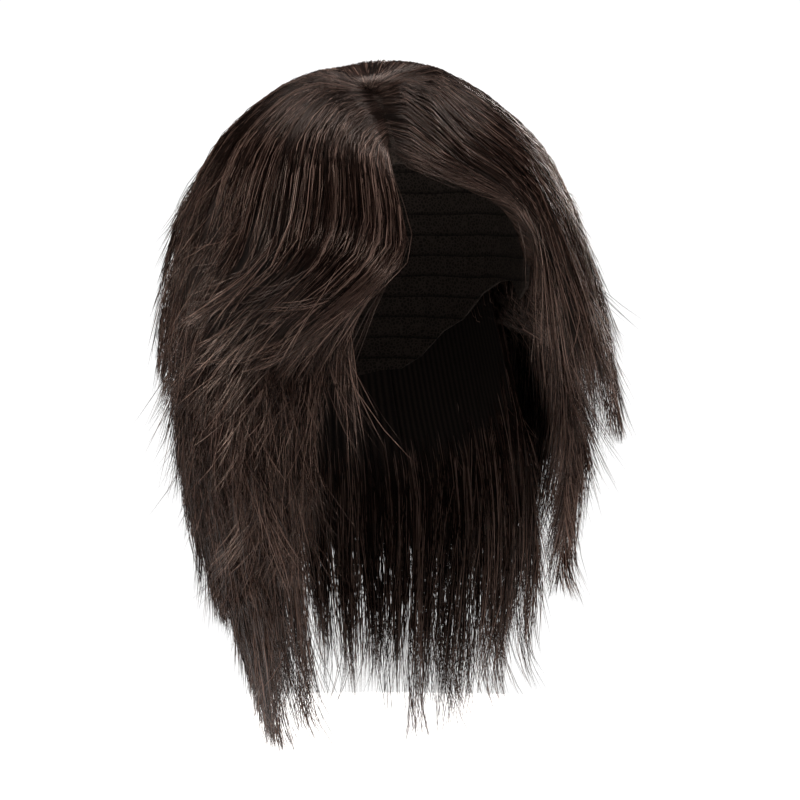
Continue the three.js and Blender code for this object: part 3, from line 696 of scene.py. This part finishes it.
def strand_mesh(path, out, s, tint, radius):
    """Closed tapered tubes, three-sided and pointed, as points, quads, triangles and their map places."""
    count, rings = path.shape[0], path.shape[1] - 1
    along = unit(np.gradient(path, axis=1))
    side = unit(np.cross(along, out))
    up = np.cross(along, side)
    t = np.linspace(0, 1, rings + 1)
    wide = ROOT_WIDTH + (1 - ROOT_WIDTH) * smooth(0, 0.15, t)
    wide = radius[:, None] * wide * (1 - TIP_NARROWING * smooth(0.7, 1, t))
    angle = np.radians(SIDE_ANGLES)
    turn = side[:, :, None] * np.cos(angle)[:, None] + up[:, :, None] * np.sin(angle)[:, None]
    ring = path[:, :, None] + turn * wide[:, :, None, None]
    points = np.concatenate([ring[:, :rings].reshape(count, -1, 3), path[:, rings:]], 1)
    per = rings * 3 + 1
    k, j = np.meshgrid(np.arange(rings - 1), np.arange(3), indexing="ij")
    k, j = k.ravel(), j.ravel()
    n = (j + 1) % 3
    quad = np.stack([3 * k + j, 3 * k + n, 3 * k + 3 + n, 3 * k + 3 + j], -1)
    end = 3 * (rings - 1)
    tip = per - 1
    tri = np.array([[end, end + 1, tip], [end + 1, end + 2, tip], [end + 2, end, tip], [0, 2, 1]])
    base = (np.arange(count) * per)[:, None, None]
    # Map places: across is the tint with a small step round the strand, up is the share along
    tint = np.clip(tint, *TINT_LIMITS)
    step = MAP_STEP * np.arange(4)
    high = np.clip(s / REACH, *MAP_LIMITS)
    quad_u = tint[:, None, None] + np.stack([step[j], step[j + 1], step[j + 1], step[j]], -1)
    quad_v = np.stack([high[:, k], high[:, k], high[:, k + 1], high[:, k + 1]], -1)
    corner = np.array([[0, 1, 0.5], [1, 2, 1.5], [2, 3, 2.5], [0, 2, 1]])
    tri_u = tint[:, None, None] + MAP_STEP * corner
    top, last, root = high[:, rings], high[:, rings - 1], high[:, 0]
    tri_v = np.stack([np.stack([last, last, top], -1)] * 3 + [np.stack([root, root, root + MAP_ROOT], -1)], 1)
    return (points.reshape(-1, 3), (base + quad).reshape(-1, 4), (base + tri).reshape(-1, 3),
            np.stack(np.broadcast_arrays(quad_u, quad_v), -1).reshape(-1, 2),
            np.stack(np.broadcast_arrays(tri_u, tri_v), -1).reshape(-1, 2))


def core_mesh(section):
    """The dense hair inside a section: a thin closed sheet under its strands, pointed at each lock, coloured
    in painted shade.
    """
    sheet = SHEETS[section["layer"]]
    columns, rows = CORE_COLUMNS_PER_LOCK * section["locks"] + 1, CORE_ROWS
    column = np.arange(columns)
    u = np.clip(np.linspace(*section["span"], columns), CORE_MARGIN, sheet.last - CORE_MARGIN)[:, None]
    half = CORE_COLUMNS_PER_LOCK / 2
    off_middle = np.abs(column % CORE_COLUMNS_PER_LOCK - half) / half
    lock = np.minimum(column // CORE_COLUMNS_PER_LOCK, section["locks"] - 1)
    long = section["core"] * LOCK_LENGTHS[lock % len(LOCK_LENGTHS)]
    s = (long * (1 - CORE_POINTS * off_middle))[:, None] * np.linspace(0, 1, rows)[None, :]
    u = np.broadcast_to(u, s.shape)
    face, out = sheet.at(u, s)
    thick = sheet.depth(u, s)
    sunk = thick * CORE_DEPTH[section["layer"]]
    sunk = sunk + CORE_DROOP * np.interp(u, section["span"], section["droop"][:2]) * smooth(0.4, 0.95, s)
    outer = face - out * sunk[..., None]
    inner = outer - out * (CORE_THICKNESS * thick)[..., None]
    outer = off_cap(outer, np.full(s.shape, CAP_WALL + CORE_CLEARANCE[0]))
    inner = off_cap(inner, np.full(s.shape, CAP_WALL + CORE_CLEARANCE[1]))
    index = np.arange(columns * rows).reshape(columns, rows)
    back = index + columns * rows

    def cells(grid):
        return np.stack([grid[:-1, :-1], grid[1:, :-1], grid[1:, 1:], grid[:-1, 1:]], -1).reshape(-1, 4)

    def wall(edge, far):
        return np.stack([edge[1:], edge[:-1], far[:-1], far[1:]], -1)

    quads = np.concatenate([
        cells(index), cells(back)[:, ::-1],
        wall(index[:, 0], back[:, 0]), wall(index[::-1, -1], back[::-1, -1]),
        wall(index[0, ::-1], back[0, ::-1]), wall(index[-1], back[-1]),
    ])
    across = CORE_MAP[0] + CORE_MAP[1] * np.linspace(0, 1, columns)[:, None]
    across = np.broadcast_to(across, (columns, rows)).ravel()
    high = np.clip(s / REACH, *MAP_LIMITS).ravel()
    places = np.tile(np.stack([across, high], -1), (2, 1))
    points = np.concatenate([outer.reshape(-1, 3), inner.reshape(-1, 3)])
    return points, quads, np.zeros((0, 3), int), places[quads.ravel()], np.zeros((0, 2))


def joined(batches):
    """Several lots of points, quads, triangles and map places as one."""
    start = np.cumsum([0] + [len(batch[0]) for batch in batches[:-1]])
    return (np.concatenate([batch[0] for batch in batches]),
            np.concatenate([batch[1] + n for batch, n in zip(batches, start)]),
            np.concatenate([batch[2] + n for batch, n in zip(batches, start)]),
            np.concatenate([batch[3] for batch in batches]),
            np.concatenate([batch[4] for batch in batches]))


def mesh_object(name, points, quads, triangles, quad_map, triangle_map, core_start):
    """One mesh. The quads from core_start on take the second material."""
    mesh = bpy.data.meshes.new(name)
    mesh.vertices.add(len(points))
    mesh.vertices.foreach_set("co", (points * MM).astype(np.float32).ravel())
    corners = np.concatenate([quads.ravel(), triangles.ravel()]).astype(np.int32)
    sizes = np.concatenate([np.full(len(quads), 4), np.full(len(triangles), 3)])
    mesh.loops.add(len(corners))
    mesh.loops.foreach_set("vertex_index", corners)
    mesh.polygons.add(len(sizes))
    mesh.polygons.foreach_set("loop_start", np.concatenate([[0], sizes.cumsum()[:-1]]).astype(np.int32))
    second = np.zeros(len(sizes), np.int32)
    second[core_start:len(quads)] = 1
    mesh.polygons.foreach_set("material_index", second)
    mesh.update(calc_edges=True)
    layer = mesh.uv_layers.new(name="OFBake")
    layer.uv.foreach_set("vector", np.concatenate([quad_map, triangle_map]).astype(np.float32).ravel())
    mesh.shade_smooth()
    mesh.validate()
    piece = bpy.data.objects.new(name, mesh)
    bpy.context.scene.collection.objects.link(piece)
    return piece


def hair_material():
    """Colour by the strand's map: tint across, share of the length up."""
    material = bpy.data.materials.new("hair")
    material.use_nodes = True
    nodes, links = material.node_tree.nodes, material.node_tree.links
    shader = nodes["Principled BSDF"]
    shader.inputs["Roughness"].default_value = 0.22
    shader.inputs["Specular IOR Level"].default_value = 0.5
    shader.inputs["Specular Tint"].default_value = (1, 0.76, 0.65, 1)
    places = nodes.new("ShaderNodeUVMap")
    places.uv_map = "OFBake"
    parts = nodes.new("ShaderNodeSeparateXYZ")
    tint = nodes.new("ShaderNodeValToRGB")
    tint.color_ramp.elements[0].color = (0.003, 0.0016, 0.0013, 1)
    tint.color_ramp.elements[1].color = (0.235, 0.157, 0.129, 1)
    middle = tint.color_ramp.elements.new(0.5)
    middle.color = (0.027, 0.0138, 0.0103, 1)
    length = nodes.new("ShaderNodeValToRGB")
    length.color_ramp.elements[0].color = (0.6, 0.6, 0.6, 1)
    length.color_ramp.elements[1].color = (1.0, 0.95, 0.9, 1)
    length.color_ramp.elements.new(0.2).color = (0.9, 0.9, 0.9, 1)
    mix = nodes.new("ShaderNodeMix")
    mix.data_type = "RGBA"
    mix.blend_type = "MULTIPLY"
    mix.inputs["Factor"].default_value = 1.0
    links.new(places.outputs["UV"], parts.inputs["Vector"])
    links.new(parts.outputs["X"], tint.inputs["Fac"])
    links.new(parts.outputs["Y"], length.inputs["Fac"])
    links.new(tint.outputs["Color"], mix.inputs["A"])
    links.new(length.outputs["Color"], mix.inputs["B"])
    links.new(mix.outputs["Result"], shader.inputs["Base Color"])
    return material


def painted_shade_material():
    """Painted shade for the hair inside a section: a near-black colour, ribbed along its strands."""
    material = bpy.data.materials.new("hair_inside_painted_shade")
    material.use_nodes = True
    nodes, links = material.node_tree.nodes, material.node_tree.links
    shader = nodes["Principled BSDF"]
    shader.inputs["Roughness"].default_value = 0.9
    shader.inputs["Specular IOR Level"].default_value = 0.1
    places = nodes.new("ShaderNodeUVMap")
    places.uv_map = "OFBake"
    ribs = nodes.new("ShaderNodeTexWave")
    ribs.bands_direction = "X"
    ribs.inputs["Scale"].default_value = 300
    ribs.inputs["Distortion"].default_value = 1.0
    ramp = nodes.new("ShaderNodeValToRGB")
    # Painted shade: near-black browns for the hair deep inside the section
    ramp.color_ramp.elements[0].color = (0.004, 0.003, 0.0025, 1)
    ramp.color_ramp.elements[1].color = (0.016, 0.011, 0.009, 1)
    links.new(places.outputs["UV"], ribs.inputs["Vector"])
    links.new(ribs.outputs["Color"], ramp.inputs["Fac"])
    links.new(ramp.outputs["Color"], shader.inputs["Base Color"])
    return material


HAIR = hair_material()
HAIR_INSIDE_SHADE = painted_shade_material()
for number, section in enumerate(SECTIONS):
    rng = np.random.default_rng(FIRST_SEED + number)
    kinds = [grow, grow_feathers] + [grow_edge] * (section["name"] in EDGE_HAIRS)
    batches = [strand_mesh(*kept_near(*kind(section, rng))) for kind in kinds]
    core_start = sum(len(batch[1]) for batch in batches)
    if section["core"]:
        batches.append(core_mesh(section))
    piece = mesh_object(section["name"] + "_strands", *joined(batches), core_start)
    # The strands take the hair material, and the dense inside takes the painted shade
    piece.data.materials.append(HAIR)
    piece.data.materials.append(HAIR_INSIDE_SHADE)
    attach(piece, "root")
    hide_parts(section["name"])


def net_material():
    """A fine net with sewn rows."""
    material = bpy.data.materials.new("cap_net")
    material.use_nodes = True
    nodes, links = material.node_tree.nodes, material.node_tree.links
    shader = nodes["Principled BSDF"]
    shader.inputs["Roughness"].default_value = 0.9
    shader.inputs["Specular IOR Level"].default_value = 0.15
    place = nodes.new("ShaderNodeTexCoord")
    rows = nodes.new("ShaderNodeTexWave")
    rows.bands_direction = "Z"
    rows.wave_profile = "SAW"
    rows.inputs["Scale"].default_value = 28
    rows.inputs["Distortion"].default_value = 0.8
    rows.inputs["Detail"].default_value = 1.0
    row_tone = nodes.new("ShaderNodeValToRGB")
    row_tone.color_ramp.elements[0].color = (0.014, 0.0105, 0.0085, 1)
    row_tone.color_ramp.elements[1].color = (0.052, 0.040, 0.033, 1)
    row_tone.color_ramp.elements[1].position = 0.22
    net = nodes.new("ShaderNodeTexVoronoi")
    net.feature = "DISTANCE_TO_EDGE"
    net.inputs["Scale"].default_value = 520
    thread = nodes.new("ShaderNodeValToRGB")
    thread.color_ramp.elements[0].color = (1.0, 1.0, 1.0, 1)
    thread.color_ramp.elements[1].color = (0.38, 0.38, 0.38, 1)
    thread.color_ramp.elements[0].position = 0.06
    thread.color_ramp.elements[1].position = 0.2
    mix = nodes.new("ShaderNodeMix")
    mix.data_type = "RGBA"
    mix.blend_type = "MULTIPLY"
    mix.inputs["Factor"].default_value = 1.0
    bump = nodes.new("ShaderNodeBump")
    bump.inputs["Strength"].default_value = 0.4
    bump.inputs["Distance"].default_value = 0.0006
    links.new(place.outputs["Object"], rows.inputs["Vector"])
    links.new(place.outputs["Object"], net.inputs["Vector"])
    links.new(rows.outputs["Color"], row_tone.inputs["Fac"])
    links.new(net.outputs["Distance"], thread.inputs["Fac"])
    links.new(row_tone.outputs["Color"], mix.inputs["A"])
    links.new(thread.outputs["Color"], mix.inputs["B"])
    links.new(mix.outputs["Result"], shader.inputs["Base Color"])
    links.new(rows.outputs["Fac"], bump.inputs["Height"])
    links.new(bump.outputs["Normal"], shader.inputs["Normal"])
    return material


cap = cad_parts["cap"]
cap.data.materials.clear()
cap.data.materials.append(net_material())

# Pale floor below the tips
FLOOR_LEVEL = -0.42
FLOOR_RADIUS = 0.6
FLOOR_SIDES = 96
floor_turns = [2 * math.pi * k / FLOOR_SIDES for k in range(FLOOR_SIDES)]
floor_rim = [(FLOOR_RADIUS * math.cos(a), FLOOR_RADIUS * math.sin(a), FLOOR_LEVEL) for a in floor_turns]
floor_mesh = bpy.data.meshes.new("floor")
floor_mesh.from_pydata(floor_rim, [], [list(range(FLOOR_SIDES))])
floor = bpy.data.objects.new("floor", floor_mesh)
bpy.context.scene.collection.objects.link(floor)
pale = bpy.data.materials.new("pale_floor")
pale.use_nodes = True
pale_shader = pale.node_tree.nodes["Principled BSDF"]
pale_shader.inputs["Base Color"].default_value = (0.86, 0.92, 0.96, 1)
pale_shader.inputs["Roughness"].default_value = 0.9
pale_shader.inputs["Emission Color"].default_value = (1, 1, 1, 1)
pale_shader.inputs["Emission Strength"].default_value = 0.22
floor.data.materials.append(pale)

# What the camera and the lights look at, in metres, and where the camera stands
TARGET = Vector((0.0101, -0.0053, -0.163))
CAMERA_FROM = (-28, 4, 1.5)
FOCAL_LENGTH = 129.8
SENSOR_WIDTH = 36
AMBIENT = 0.03
BACKDROP = 1.05


def aimed(thing, place, target):
    """Put a thing at a place, looking at the target."""
    thing.location = place
    thing.rotation_euler = (target - place).to_track_quat("-Z", "Y").to_euler()


def around(azimuth, elevation, distance):
    """A place so far from the target: azimuth from the front, left positive, and elevation in degrees."""
    a, e = math.radians(azimuth), math.radians(elevation)
    return TARGET + distance * Vector((math.sin(a) * math.cos(e), -math.cos(a) * math.cos(e), math.sin(e)))


# Soft lights: where each is (azimuth and elevation in degrees, metres away), size, watts and colour
LIGHTS = [
    {"name": "over", "from": (-95, 80, 1.3), "size": 0.7, "power": 10, "colour": (1, 0.92, 0.88)},
    {"name": "right_back", "from": (-150, 62, 1.3), "size": 0.6, "power": 8, "colour": (1, 0.92, 0.88)},
    {"name": "left_top", "from": (95, 62, 1.3), "size": 0.6, "power": 13, "colour": (1, 0.92, 0.88)},
    {"name": "rim_right", "from": (-142, 14, 1.3), "size": 0.5, "power": 9, "colour": (1, 0.8, 0.68)},
    {"name": "rim_left", "from": (130, 12, 1.3), "size": 0.5, "power": 9.5, "colour": (1, 0.92, 0.88)},
    {"name": "low_right", "from": (-72, -6, 1.5), "size": 0.4, "power": 8.8, "colour": (1, 0.92, 0.88)},
    {"name": "low_left", "from": (36, -2, 1.5), "size": 0.5, "power": 16, "colour": (1, 0.92, 0.88)},
]
for row in LIGHTS:
    lamp = bpy.data.lights.new(row["name"], "AREA")
    lamp.size = row["size"]
    lamp.energy = row["power"]
    lamp.color = row["colour"]
    light = bpy.data.objects.new(row["name"], lamp)
    bpy.context.scene.collection.objects.link(light)
    aimed(light, around(*row["from"]), TARGET)

# A white backdrop that the camera sees, which lights the hair only a little
world = bpy.data.worlds.new("studio")
world.use_nodes = True
nodes, links = world.node_tree.nodes, world.node_tree.links
nodes["Background"].inputs["Color"].default_value = (1, 1, 1, 1)
nodes["Background"].inputs["Strength"].default_value = AMBIENT
backdrop = nodes.new("ShaderNodeBackground")
backdrop.inputs["Color"].default_value = (1, 1, 1, 1)
backdrop.inputs["Strength"].default_value = BACKDROP
seen = nodes.new("ShaderNodeLightPath")
choose = nodes.new("ShaderNodeMixShader")
links.new(seen.outputs["Is Camera Ray"], choose.inputs["Fac"])
links.new(nodes["Background"].outputs["Background"], choose.inputs[1])
links.new(backdrop.outputs["Background"], choose.inputs[2])
links.new(choose.outputs["Shader"], nodes["World Output"].inputs["Surface"])
bpy.context.scene.world = world
bpy.context.scene.view_settings.view_transform = "Standard"

lens = bpy.data.cameras.new("camera")
lens.sensor_width = SENSOR_WIDTH
lens.lens = FOCAL_LENGTH
camera = bpy.data.objects.new("camera", lens)
bpy.context.scene.collection.objects.link(camera)
aimed(camera, around(*CAMERA_FROM), TARGET)
bpy.context.scene.camera = camera
